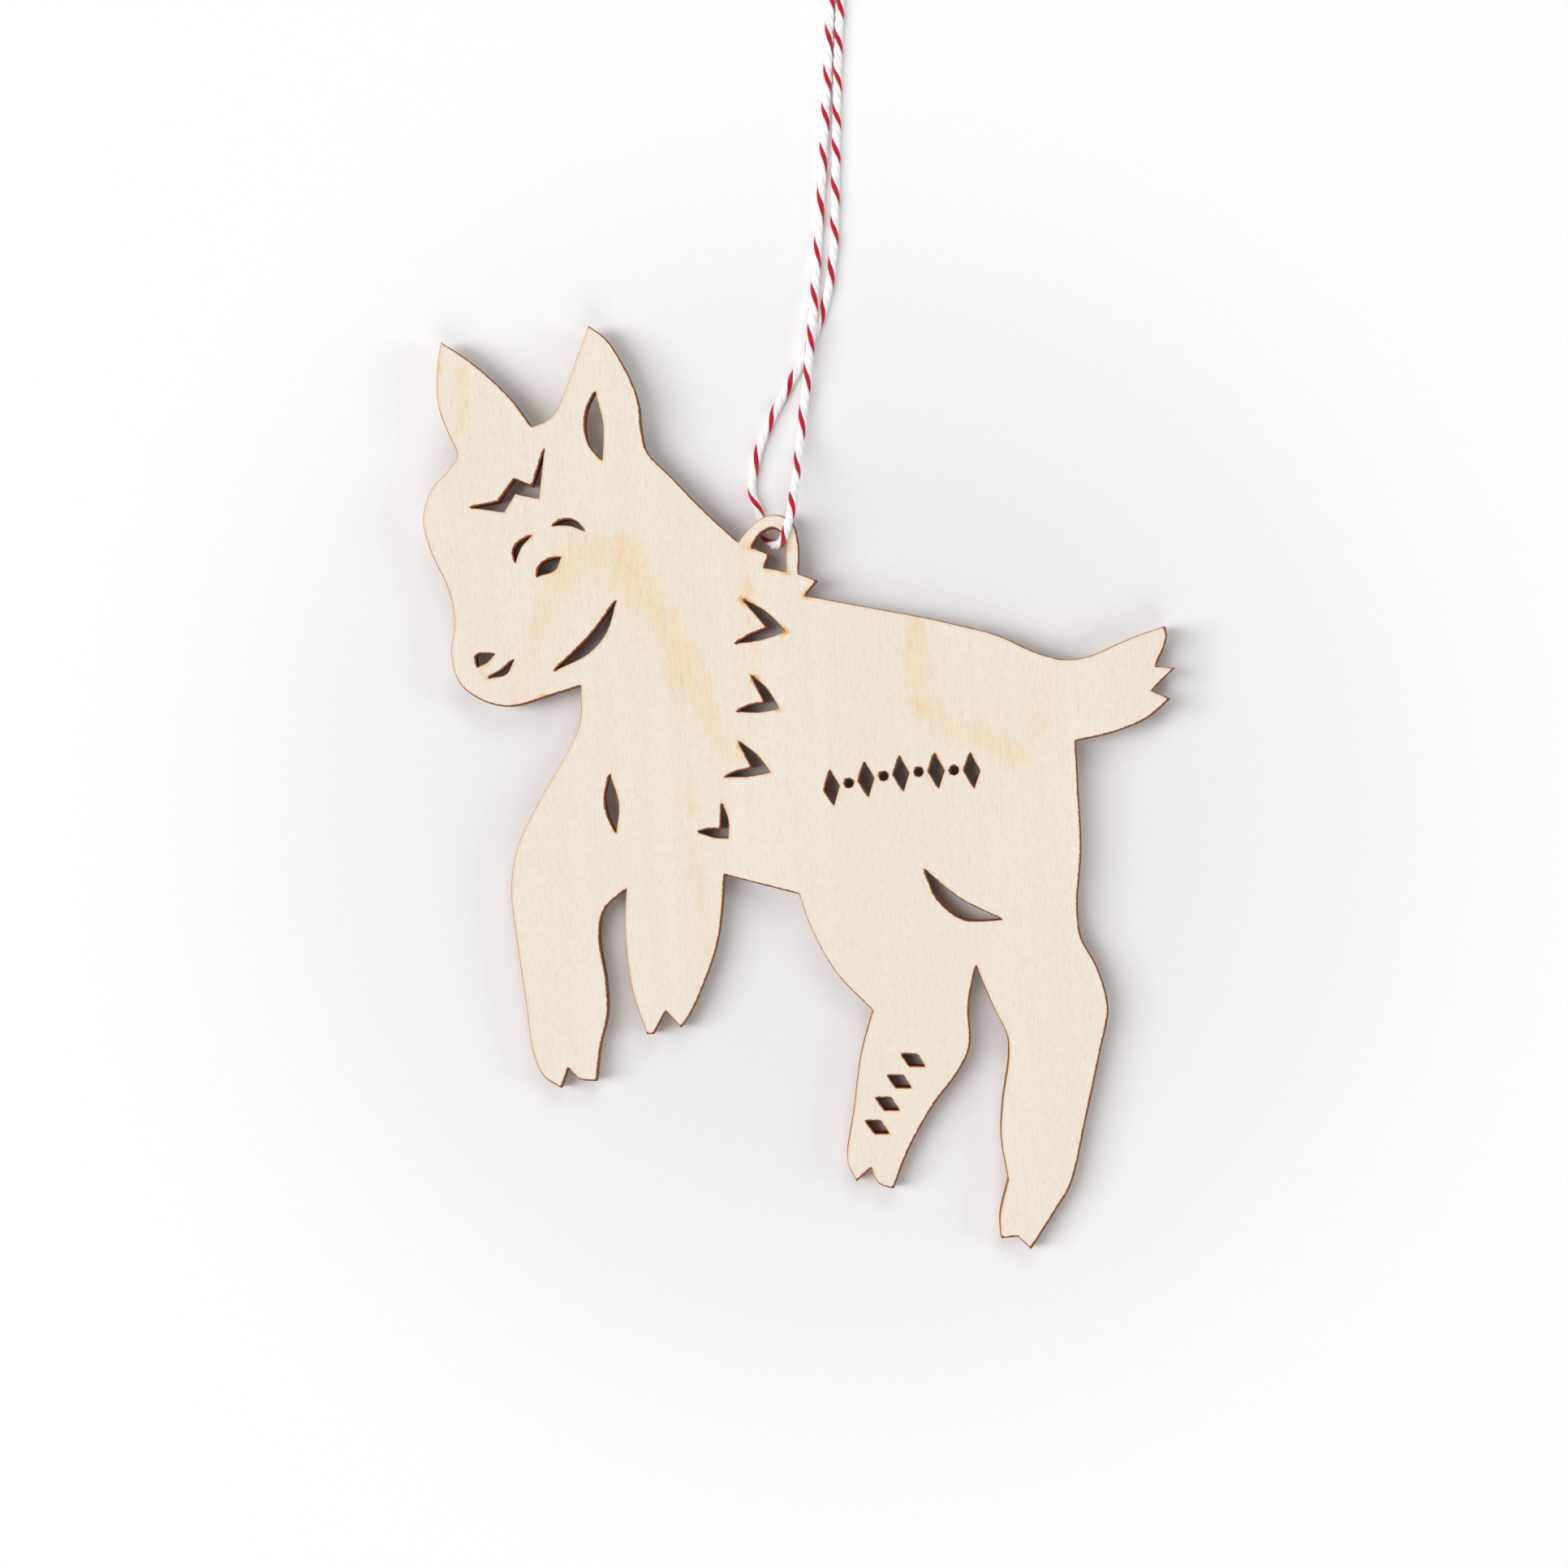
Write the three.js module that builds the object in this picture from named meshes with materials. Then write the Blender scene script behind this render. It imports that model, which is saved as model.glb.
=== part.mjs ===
// A flat goat-kid hanging ornament, cut from three-ply wood, with a loop of four-strand twine.
// Millimetres, +Z up, +Y towards the ears and the hanging loop, +X towards the tail.
// It lies on its back face. The twine that runs out under its tab tips it up a little, so it rests
// on that twine and on two hooves. The origin is the centre of the board's box, at the surface.
import * as THREE from 'three';

// The board: three plies with a thin glue line between them.
const BOARD_THICKNESS = 3.0;
const GLUE_LINE = 0.05;
const PLY_THICKNESS = (BOARD_THICKNESS - 2 * GLUE_LINE) / 3;
const CHORD_TOLERANCE = 0.025; // how far a straight facet may stray from its curve
const LONGEST_FACET = 3.0;

// How it lies: tipped about the line through two hooves, with the tab this far off the surface.
const FORE_HOOF = [-26.2, -33.2];
const HIND_HOOF = [25.7, -51.0];
const TAB = [-4.0, 29.5];
const TAB_LIFT = 1.25;

// The twine.
const TWINE_DIAMETER = 1.0;
const TWINE_SIDES = 8;
const TWINE_STEP = 2.4; // along the legs
const BIGHT_STEP = 1.0; // round the tight turn in the hole
const KNOT_CENTRE = [4.3, 105.0, 1.55];
const KNOT_HALF_SIZE = [1.6, 2.1, 1.5];

// Marks cut through the flank and the hind leg: a row of lozenges and dots, and a row of lozenges.
const FLANK_ROW = {
  middle: [11.4, 1.0], angle: 7, bow: 0.6, pitch: 3.9, count: 5, halfWidth: 0.85, halfHeight: 1.9,
};
const FLANK_DOT_RADIUS = 0.5;
const LEG_ROW = {
  middle: [10.7, -33.8], angle: 62, bow: 0.25, pitch: 2.8, count: 4, halfWidth: 0.75, halfHeight: 1.45,
};

const WOOD = { color: 0xefe3d2, roughness: 0.78, metalness: 0 };
const CORE_WOOD = { color: 0xdcc7a6, roughness: 0.85, metalness: 0 };
const TWINE = { color: 0xf3eeec, roughness: 0.9, metalness: 0 };

// An outline is a list of runs, and each run starts at a sharp corner and ends at the next one's.
// A run of one point is a straight cut. With more points it is a smooth curve through them.
const GOAT = [
  // left ear, brow, bridge of the nose, muzzle and chin
  [[-39.5, 49.2], [-39.9, 46.4], [-39.8, 42.2], [-38.6, 38.9], [-37.7, 36.7], [-38.7, 35.1],
    [-40.6, 32.9], [-41.5, 29.6], [-40.6, 26.0], [-38.8, 22.2], [-38.0, 18.4], [-38.4, 14.7],
    [-37.4, 11.5], [-34.8, 9.6], [-31.8, 9.0], [-28.1, 10.0]],
  // throat, chest and the front of the near foreleg
  [[-24.1, 11.3], [-24.2, 7.2], [-25.9, 3.4], [-28.8, -1.6], [-31.1, -6.5], [-31.8, -11.0],
    [-31.2, -16.8], [-30.2, -23.5], [-29.4, -29.2], [-28.2, -31.9]],
  // its hoof
  [[-26.2, -33.2]],
  [[-25.5, -31.0], [-24.2, -32.2]],
  // its back edge, up to the slit between the forelegs
  [[-22.3, -32.4], [-21.9, -28.6], [-21.1, -25.1], [-21.3, -20.9], [-22.0, -16.6], [-21.5, -13.5]],
  // the raised foreleg
  [[-19.1, -11.2], [-19.2, -16.0], [-18.4, -22.4]],
  [[-16.8, -27.2]],
  [[-16.0, -27.2]],
  [[-14.7, -24.7]],
  [[-13.0, -26.5], [-11.9, -24.9], [-10.5, -21.8], [-9.0, -17.4], [-8.4, -13.4]],
  // belly
  [[-8.2, -9.6]],
  // the first hind leg
  [[0.0, -11.7], [1.4, -15.6], [4.2, -20.5]],
  [[8.2, -24.6], [6.9, -29.3], [6.1, -35.6], [5.4, -41.4]],
  [[6.4, -43.5]],
  [[8.0, -42.0], [8.8, -43.7]],
  [[10.5, -44.3], [12.2, -39.9], [15.0, -34.9], [17.6, -31.4], [18.9, -28.6], [18.8, -23.9]],
  // the second hind leg
  [[19.6, -19.7], [21.6, -24.4], [23.1, -27.5], [23.2, -30.1], [22.6, -34.2], [22.4, -38.7]],
  [[23.2, -43.3], [22.3, -47.2]],
  [[22.4, -49.8]],
  [[24.2, -49.6]],
  [[25.7, -51.0], [28.6, -46.4], [30.1, -43.8], [31.8, -36.4], [33.3, -29.2], [34.2, -24.2],
    [33.0, -19.8], [31.2, -16.4], [30.8, -13.0], [31.2, -6.6], [30.9, -0.6]],
  // tail
  [[30.6, 5.2], [34.9, 6.2], [38.6, 7.8]],
  [[41.0, 9.9]],
  [[39.0, 10.8]],
  [[41.5, 13.3]],
  [[39.4, 13.5], [40.2, 15.3], [40.6, 16.8]],
  // back
  [[40.4, 17.9], [38.0, 17.1], [35.1, 15.9], [32.2, 14.6], [29.6, 14.2], [27.0, 14.7],
    [24.6, 15.7], [22.0, 16.9], [18.6, 17.8], [13.7, 18.9], [6.6, 20.2]],
  // tuft
  [[0.7, 21.3]],
  [[2.1, 22.9]],
  // hanging tab
  [[0.0, 23.7], [0.0, 27.0], [-0.7, 29.3], [-2.6, 30.2], [-4.6, 29.5]],
  // nape and the outside of the right ear
  [[-6.7, 27.2], [-10.1, 30.3], [-14.2, 34.5], [-16.7, 37.1], [-17.3, 39.3], [-17.7, 42.8],
    [-19.3, 46.6], [-21.3, 49.6]],
  // the inside of the right ear
  [[-23.2, 51.0], [-24.6, 47.2], [-25.9, 43.6], [-26.9, 41.4], [-28.1, 40.4]],
  // the top of the head
  [[-29.5, 39.9], [-31.6, 42.8], [-34.9, 46.0], [-37.4, 47.9]],
];

const HANG_HOLE = [
  [[-5.2, 26.6], [-4.2, 28.1], [-2.9, 28.7], [-1.9, 28.2]],
  [[-1.4, 26.9]],
  [[-1.4, 23.9]],
  [[-3.8, 24.4]],
  [[-3.2, 25.8]],
];

// Lines of the drawing, cut right through the board.
const CUT_LINES = [
  // inner ear
  [[[-22.5, 43.7], [-23.3, 42.0], [-23.6, 40.1], [-23.1, 37.9]], [[-21.7, 36.2], [-21.6, 40.0]]],
  // forelock
  [[[-28.1, 37.4]], [[-29.4, 33.3]], [[-31.4, 34.1]], [[-33.2, 31.6]], [[-36.2, 31.0]],
    [[-32.5, 30.5]], [[-31.3, 32.5]], [[-28.7, 32.0]]],
  // eyebrows
  [[[-27.2, 29.0], [-26.1, 29.6], [-24.7, 29.5]], [[-23.6, 28.4], [-25.2, 29.0]]],
  [[[-29.5, 27.9], [-31.0, 27.1], [-31.5, 26.2]], [[-31.3, 24.9], [-30.7, 26.5]]],
  // eye
  [[[-26.3, 25.5], [-27.8, 25.2], [-28.7, 24.4]], [[-28.9, 23.4], [-26.9, 24.1]]],
  // cheek
  [[[-20.2, 20.7], [-23.1, 16.8]], [[-27.0, 13.0], [-23.2, 14.9], [-21.2, 17.3]]],
  // nostril and mouth
  [[[-35.7, 14.5], [-35.3, 14.8]], [[-33.6, 14.8], [-34.4, 13.9]], [[-35.5, 13.4]]],
  [[[-31.5, 14.2], [-32.7, 13.1]], [[-34.3, 12.2], [-32.3, 12.6]]],
  // chevrons down the neck
  [[[-6.1, 20.8], [-3.5, 19.3]], [[-1.5, 17.3], [-4.1, 16.4]], [[-7.0, 16.0], [-5.3, 17.0]], [[-3.4, 17.7]]],
  [[[-5.2, 12.4], [-3.5, 10.9]], [[-2.2, 8.8], [-4.5, 8.4]], [[-6.8, 8.5], [-5.3, 9.2]], [[-3.7, 9.4]]],
  [[[-6.6, 5.1], [-4.7, 3.7]], [[-3.2, 1.8], [-5.6, 1.3]], [[-8.1, 1.3], [-6.7, 1.9]], [[-5.1, 2.2]]],
  [[[-8.5, -1.7], [-7.8, -3.5]], [[-7.8, -5.5], [-9.4, -5.4]], [[-11.1, -4.8], [-9.9, -4.5]], [[-8.6, -4.6]]],
  // chest
  [[[-20.9, 1.5], [-21.4, -1.2], [-21.1, -3.0]], [[-20.2, -4.9], [-19.9, -1.8]]],
  // thigh
  [[[13.9, -9.0], [15.3, -12.2], [18.2, -14.5]], [[22.5, -14.5], [17.8, -12.2]]],
];

// The twine's centreline, in the ornament's own frame. One run leaves the hole under the board and
// lies on the surface. The other comes up through the hole and over the board's front, drops to the
// surface and passes over the first one in a long low hump.
const BIGHT_ROUTE = [
  [-4.6, 31.1, 0.56], [-4.3, 30.1, 0.56], [-4.15, 29.2, 0.56], [-3.95, 28.3, 0.6], [-3.8, 27.85, 0.74],
  [-3.6, 27.5, 1.05], [-3.2, 27.1, 1.75], [-2.75, 26.9, 2.55], [-2.35, 26.85, 3.35], [-2.0, 26.95, 4.15],
  [-1.8, 27.3, 4.66], [-1.6, 27.9, 4.88], [-1.15, 29.3, 4.9], [-0.95, 30.2, 4.84], [-0.83, 30.9, 4.72],
];
const BACK_LEG_ROUTE = [
  [-4.7, 31.4, 0.56], [-5.15, 32.7, 0.56], [-5.2, 34.2, 0.56], [-4.75, 36.5, 0.56], [-3.85, 39.3, 0.56],
  [-2.3, 42.6, 0.56], [-1.0, 45.0, 0.56], [-0.1, 46.6, 0.56], [0.9, 48.9, 0.56], [2.0, 51.3, 0.56],
  [2.8, 53.4, 0.56], [3.5, 56.8, 0.56], [3.9, 60.4, 0.56], [4.05, 66.6, 0.56], [4.2, 74.7, 0.56],
  [4.4, 83.2, 0.56], [4.7, 90.0, 0.56], [4.95, 97.0, 0.6], [4.85, 102.6, 1.3],
];
const FRONT_LEG_ROUTE = [
  [-0.78, 31.2, 4.64], [-0.6, 32.7, 4.1], [-0.2, 35.6, 2.75], [0.1, 38.3, 1.75], [0.35, 40.8, 1.25],
  [0.65, 43.3, 1.15], [0.92, 45.7, 1.35], [1.1, 47.6, 1.6], [1.3, 49.8, 1.72], [1.5, 52.0, 1.62],
  [1.68, 54.5, 1.2], [1.88, 57.0, 0.8], [2.1, 60.0, 0.6], [2.4, 64.5, 0.56], [2.7, 70.3, 0.56],
  [3.05, 76.7, 0.56], [3.35, 83.4, 0.56], [3.5, 90.0, 0.56], [3.65, 97.0, 0.6], [3.75, 102.6, 1.3],
];
const LEFT_TAIL_ROUTE = [[3.9, 107.4, 1.2], [3.4, 109.6, 0.7], [2.7, 112.5, 0.56], [2.2, 116.0, 0.56]];
const RIGHT_TAIL_ROUTE = [[4.8, 107.4, 1.2], [5.4, 109.8, 0.7], [6.3, 113.0, 0.56], [6.7, 117.0, 0.56]];

// Adds the curve's points after `from` up to `to`, close enough together for straight facets.
function addFacets(curve, from, to, points) {
  const start = curve.getPoint(from);
  const end = curve.getPoint(to);
  const between = (from + to) / 2;
  const chordMiddle = start.clone().lerp(end, 0.5);
  const stray = curve.getPoint(between).distanceTo(chordMiddle);
  if (stray > CHORD_TOLERANCE || start.distanceTo(end) > LONGEST_FACET) {
    addFacets(curve, from, between, points);
    addFacets(curve, between, to, points);
  } else {
    points.push(new THREE.Vector2(end.x, end.y));
  }
}

function outlinePoints(runs) {
  const points = [];
  runs.forEach((run, index) => {
    const nextCorner = runs[(index + 1) % runs.length][0];
    if (run.length === 1) {
      points.push(new THREE.Vector2(...nextCorner));
      return;
    }
    const knots = [...run, nextCorner].map(([x, y]) => new THREE.Vector3(x, y, 0));
    const curve = new THREE.CatmullRomCurve3(knots);
    for (let span = 0; span < run.length; span += 1) {
      addFacets(curve, span / run.length, (span + 1) / run.length, points);
    }
  });
  return points;
}

// A place on a row of marks. The row is turned by its angle about its middle, and bows up there.
function rowPoint(row, along, across) {
  const angle = THREE.MathUtils.degToRad(row.angle);
  const endDistance = (row.pitch * (row.count - 1)) / 2;
  const height = across + row.bow * (1 - (along / endDistance) ** 2);
  const x = row.middle[0] + along * Math.cos(angle) - height * Math.sin(angle);
  const y = row.middle[1] + along * Math.sin(angle) + height * Math.cos(angle);
  return [x, y];
}

function lozenges(row) {
  const marks = [];
  for (let index = 0; index < row.count; index += 1) {
    const along = (index - (row.count - 1) / 2) * row.pitch;
    marks.push([
      [rowPoint(row, along - row.halfWidth, 0)],
      [rowPoint(row, along, row.halfHeight)],
      [rowPoint(row, along + row.halfWidth, 0)],
      [rowPoint(row, along, -row.halfHeight)],
    ]);
  }
  return marks;
}

function dots(row, radius) {
  const marks = [];
  for (let index = 0; index < row.count - 1; index += 1) {
    const along = (index - (row.count - 2) / 2) * row.pitch;
    const dot = new THREE.Path();
    dot.absarc(...rowPoint(row, along, 0), radius, 0, 2 * Math.PI);
    marks.push(dot);
  }
  return marks;
}

function goatShape() {
  const shape = new THREE.Shape(outlinePoints(GOAT));
  const cutOuts = [HANG_HOLE, ...CUT_LINES, ...lozenges(FLANK_ROW), ...lozenges(LEG_ROW)];
  shape.holes = cutOuts.map((runs) => new THREE.Path(outlinePoints(runs)));
  shape.holes.push(...dots(FLANK_ROW, FLANK_DOT_RADIUS));
  return shape;
}

function ply(name, shape, layer, look) {
  const geometry = new THREE.ExtrudeGeometry(shape, {
    depth: PLY_THICKNESS,
    bevelEnabled: false,
    curveSegments: 4,
  });
  const mesh = new THREE.Mesh(geometry, new THREE.MeshStandardMaterial(look));
  mesh.name = name;
  mesh.position.z = layer * (PLY_THICKNESS + GLUE_LINE);
  return mesh;
}

// The board, tipped up at its tab about the line through the two hooves it rests on.
function board() {
  const shape = goatShape();
  const foreHoof = new THREE.Vector3(...FORE_HOOF, 0);
  const hooves = new THREE.Vector3(...HIND_HOOF, 0).sub(foreHoof).normalize();
  const toTab = new THREE.Vector3(...TAB, 0).sub(foreHoof);
  const reach = toTab.clone().addScaledVector(hooves, -toTab.dot(hooves)).length();
  const flat = new THREE.Group();
  flat.position.copy(foreHoof).negate();
  flat.add(ply('back_veneer', shape, 0, WOOD));
  flat.add(ply('core_veneer', shape, 1, CORE_WOOD));
  flat.add(ply('front_veneer', shape, 2, WOOD));
  const tipped = new THREE.Group();
  tipped.position.copy(foreHoof);
  tipped.quaternion.setFromAxisAngle(hooves, Math.atan(TAB_LIFT / reach));
  tipped.add(flat);
  const placed = new THREE.Group();
  placed.add(tipped);
  placed.updateMatrixWorld(true);
  const box = new THREE.Box3().setFromObject(placed, true);
  const middle = box.getCenter(new THREE.Vector3());
  placed.position.set(-middle.x, -middle.y, -box.min.z);
  return placed;
}

function tube(name, route, step) {
  const curve = new THREE.CatmullRomCurve3(route.map((point) => new THREE.Vector3(...point)));
  const section = new THREE.Shape();
  for (let side = 0; side < TWINE_SIDES; side += 1) {
    const angle = (2 * Math.PI * side) / TWINE_SIDES;
    const x = (TWINE_DIAMETER / 2) * Math.cos(angle);
    const y = (TWINE_DIAMETER / 2) * Math.sin(angle);
    if (side === 0) section.moveTo(x, y);
    else section.lineTo(x, y);
  }
  section.closePath();
  const geometry = new THREE.ExtrudeGeometry(section, {
    steps: Math.ceil(curve.getLength() / step),
    extrudePath: curve,
  });
  const mesh = new THREE.Mesh(geometry, new THREE.MeshStandardMaterial(TWINE));
  mesh.name = name;
  return mesh;
}

// The overhand knot that ties the two legs together.
function knot() {
  const mesh = new THREE.Mesh(new THREE.SphereGeometry(1, 16, 10), new THREE.MeshStandardMaterial(TWINE));
  mesh.name = 'twine_knot';
  mesh.scale.set(...KNOT_HALF_SIZE);
  mesh.position.set(...KNOT_CENTRE);
  return mesh;
}

const ornament = new THREE.Group();
ornament.add(board());
ornament.add(tube('twine_bight', BIGHT_ROUTE, BIGHT_STEP));
ornament.add(tube('twine_back_leg', BACK_LEG_ROUTE, TWINE_STEP));
ornament.add(tube('twine_front_leg', FRONT_LEG_ROUTE, TWINE_STEP));
ornament.add(knot());
ornament.add(tube('twine_tail_left', LEFT_TAIL_ROUTE, TWINE_STEP));
ornament.add(tube('twine_tail_right', RIGHT_TAIL_ROUTE, TWINE_STEP));

export default ornament;
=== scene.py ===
"""A flat laser-cut plywood goat ornament and its twisted twine loop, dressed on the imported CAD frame."""

import math
import random

import bmesh
import bpy
import numpy as np
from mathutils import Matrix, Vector, kdtree
from mathutils.geometry import delaunay_2d_cdt


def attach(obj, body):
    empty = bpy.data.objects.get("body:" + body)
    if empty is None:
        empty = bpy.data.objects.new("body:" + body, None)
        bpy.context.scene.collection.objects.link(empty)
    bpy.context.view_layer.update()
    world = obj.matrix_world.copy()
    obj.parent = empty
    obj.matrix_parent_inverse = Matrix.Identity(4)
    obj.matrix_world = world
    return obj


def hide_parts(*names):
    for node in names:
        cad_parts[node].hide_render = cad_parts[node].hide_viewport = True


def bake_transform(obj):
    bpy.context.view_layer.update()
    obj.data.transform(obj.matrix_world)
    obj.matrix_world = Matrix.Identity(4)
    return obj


MM = 0.001
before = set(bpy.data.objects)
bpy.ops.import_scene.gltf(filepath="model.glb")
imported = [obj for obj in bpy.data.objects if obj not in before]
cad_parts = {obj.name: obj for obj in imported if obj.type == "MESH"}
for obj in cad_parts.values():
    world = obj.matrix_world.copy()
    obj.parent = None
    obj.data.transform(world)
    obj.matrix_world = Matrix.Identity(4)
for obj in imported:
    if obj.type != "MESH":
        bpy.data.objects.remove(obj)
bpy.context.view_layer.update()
random.seed(4)
rng = np.random.default_rng(4)

# The camera: straight above, 450 mm over the drawn face, a little to the left of the board's middle.
CAMERA_PLACE = (-1.66, 0.45, 454)
camera_data = bpy.data.cameras.new("camera")
camera_data.lens = 93.6
camera_data.sensor_width = 36
camera_data.clip_start = 0.01
camera_data.clip_end = 20
camera = bpy.data.objects.new("camera", camera_data)
camera.location = tuple(v * MM for v in CAMERA_PLACE)
bpy.context.scene.collection.objects.link(camera)
bpy.context.scene.camera = camera
bpy.context.scene.view_settings.view_transform = "Standard"


# ---------------------------------------------------------------- small tools

def catmull_rom(points, step):
    """A smooth line through points (a centripetal Catmull-Rom curve), with places about step apart."""
    p = np.array(points, float)
    p = np.vstack([2 * p[0] - p[1], p, 2 * p[-1] - p[-2]])
    out = []
    for i in range(1, len(p) - 2):
        a, b, c, d = p[i - 1], p[i], p[i + 1], p[i + 2]
        ta = math.sqrt(np.linalg.norm(b - a))
        tb = math.sqrt(np.linalg.norm(c - b))
        tc = math.sqrt(np.linalg.norm(d - c))
        m0 = (b - a) / ta - (c - a) / (ta + tb) + (c - b) / tb
        m1 = (c - b) / tb - (d - b) / (tb + tc) + (d - c) / tc
        m0 *= tb
        m1 *= tb
        n = max(2, int(np.linalg.norm(c - b) / step * 3))
        t = np.linspace(0, 1, n, endpoint=False)[:, None]
        out.append(
            (2 * t**3 - 3 * t**2 + 1) * b + (t**3 - 2 * t**2 + t) * m0
            + (-2 * t**3 + 3 * t**2) * c + (t**3 - t**2) * m1
        )
    dense = np.vstack(out + [p[-2:-1]])
    return resample(dense, step)


def arc_lengths(points):
    """How far along the line each point is."""
    return np.concatenate([[0], np.cumsum(np.linalg.norm(np.diff(points, axis=0), axis=1))])


def resample(points, step):
    """The same line with its points evenly spaced, about step apart."""
    s = arc_lengths(points)
    at = np.linspace(0, s[-1], max(3, int(round(s[-1] / step)) + 1))
    return np.stack([np.interp(at, s, points[:, k]) for k in range(points.shape[1])], axis=1)


def smooth_random(count, every, size):
    """A smooth random line of count values, changing over about every places."""
    knots = rng.normal(0, 1, int(count / every) + 4)
    t = np.arange(count) / every
    i = t.astype(int)
    f = t - i
    f = f * f * (3 - 2 * f)
    return size * (knots[i] * (1 - f) + knots[i + 1] * f)


def mesh_object(name, points, faces, materials, attributes=(), face_material=None, sharp_angle=35):
    """A mesh from points in millimetres, with named values at its points."""
    mesh = bpy.data.meshes.new(name)
    mesh.from_pydata((np.asarray(points, float) * MM).tolist(), [], faces)
    for m in materials:
        mesh.materials.append(m)
    if face_material is not None:
        mesh.polygons.foreach_set("material_index", np.asarray(face_material, np.int32))
    for key, kind, values in attributes:
        layer = mesh.attributes.new(key, kind, "POINT")
        channel = "vector" if kind == "FLOAT_VECTOR" else "value"
        layer.data.foreach_set(channel, np.asarray(values, np.float32).ravel())
    mesh.polygons.foreach_set("use_smooth", np.ones(len(mesh.polygons), bool))
    if sharp_angle:
        edit = bmesh.new()
        edit.from_mesh(mesh)
        limit = math.radians(sharp_angle)
        for e in edit.edges:
            if len(e.link_faces) == 2 and e.calc_face_angle(0) > limit:
                e.smooth = False
        edit.to_mesh(mesh)
        edit.free()
    mesh.update()
    obj = bpy.data.objects.new(name, mesh)
    bpy.context.scene.collection.objects.link(obj)
    return obj


# ---------------------------------------------------------------- materials

class Look:
    """A procedural material, built node by node."""

    def __init__(self, name):
        self.material = bpy.data.materials.new(name)
        self.material.use_nodes = True
        self.tree = self.material.node_tree
        self.tree.nodes.clear()
        self.out = self.tree.nodes.new("ShaderNodeOutputMaterial")
        self.shader = self.tree.nodes.new("ShaderNodeBsdfPrincipled")
        self.tree.links.new(self.shader.outputs["BSDF"], self.out.inputs["Surface"])

    def node(self, kind, **values):
        n = self.tree.nodes.new(kind)
        for key, value in values.items():
            setattr(n, key, value)
        return n

    def plug(self, value, socket):
        if isinstance(value, bpy.types.NodeSocket):
            self.tree.links.new(value, socket)
        elif value is not None:
            socket.default_value = value

    def math(self, operation, a, b=None, c=None, clamp=False):
        n = self.node("ShaderNodeMath", operation=operation, use_clamp=clamp)
        for value, socket in zip((a, b, c), n.inputs):
            self.plug(value, socket)
        return n.outputs[0]

    def fit(self, value, low, high, to_low=0.0, to_high=1.0):
        """Moves low..high smoothly to to_low..to_high, and clamps what is outside."""
        n = self.node("ShaderNodeMapRange", interpolation_type="SMOOTHSTEP")
        for v, socket in zip((value, low, high, to_low, to_high), n.inputs):
            self.plug(v, socket)
        return n.outputs[0]

    def place(self, scale, turn=0.0, source=None):
        """Coordinates in millimetres times scale, turned about Z first. A given source is in millimetres."""
        unit = 1
        if source is None:
            source = self.node("ShaderNodeTexCoord").outputs["Object"]
            unit = 1 / MM
        turned = self.node("ShaderNodeMapping", vector_type="POINT")
        turned.inputs["Rotation"].default_value = (0, 0, math.radians(turn))
        turned.inputs["Scale"].default_value = (unit, unit, unit)
        self.tree.links.new(source, turned.inputs["Vector"])
        sized = self.node("ShaderNodeMapping", vector_type="POINT")
        sized.inputs["Scale"].default_value = scale
        self.tree.links.new(turned.outputs[0], sized.inputs["Vector"])
        return sized.outputs[0]

    def noise(self, vector, detail=3.0, roughness=0.5, distortion=0.0, scale=1.0):
        n = self.node("ShaderNodeTexNoise")
        self.tree.links.new(vector, n.inputs["Vector"])
        n.inputs["Scale"].default_value = scale
        n.inputs["Detail"].default_value = detail
        n.inputs["Roughness"].default_value = roughness
        n.inputs["Distortion"].default_value = distortion
        return n.outputs["Fac"]

    def value(self, name):
        return self.node("ShaderNodeAttribute", attribute_name=name).outputs["Fac"]

    def vector(self, name):
        return self.node("ShaderNodeAttribute", attribute_name=name).outputs["Vector"]

    def mix(self, factor, a, b, blend="MIX"):
        n = self.node("ShaderNodeMix", data_type="RGBA", blend_type=blend)
        self.plug(factor, n.inputs[0])
        self.plug((*a, 1) if isinstance(a, tuple) else a, n.inputs[6])
        self.plug((*b, 1) if isinstance(b, tuple) else b, n.inputs[7])
        return n.outputs[2]

    def bump(self, height, distance, strength=1.0, normal=None):
        n = self.node("ShaderNodeBump")
        n.inputs["Strength"].default_value = strength
        n.inputs["Distance"].default_value = distance
        self.plug(height, n.inputs["Height"])
        self.plug(normal, n.inputs["Normal"])
        return n.outputs[0]

    def finish(self, colour, roughness, normal=None, specular=0.3):
        self.plug(colour, self.shader.inputs["Base Color"])
        self.plug(roughness, self.shader.inputs["Roughness"])
        self.plug(normal, self.shader.inputs["Normal"])
        self.shader.inputs["Specular IOR Level"].default_value = specular
        return self.material


GRAIN_TURN = -3.5  # degrees from the board's Y axis

# What the board's char and shade value says on a wall: the outline's wall, or the wall of a cut inside it,
# which gets a painted warm shade.
OUTER_WALL = 1.0
INNER_WALL = 2.0


def tint(colour, factors):
    return tuple(c * f for c, f in zip(colour, factors))


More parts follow.
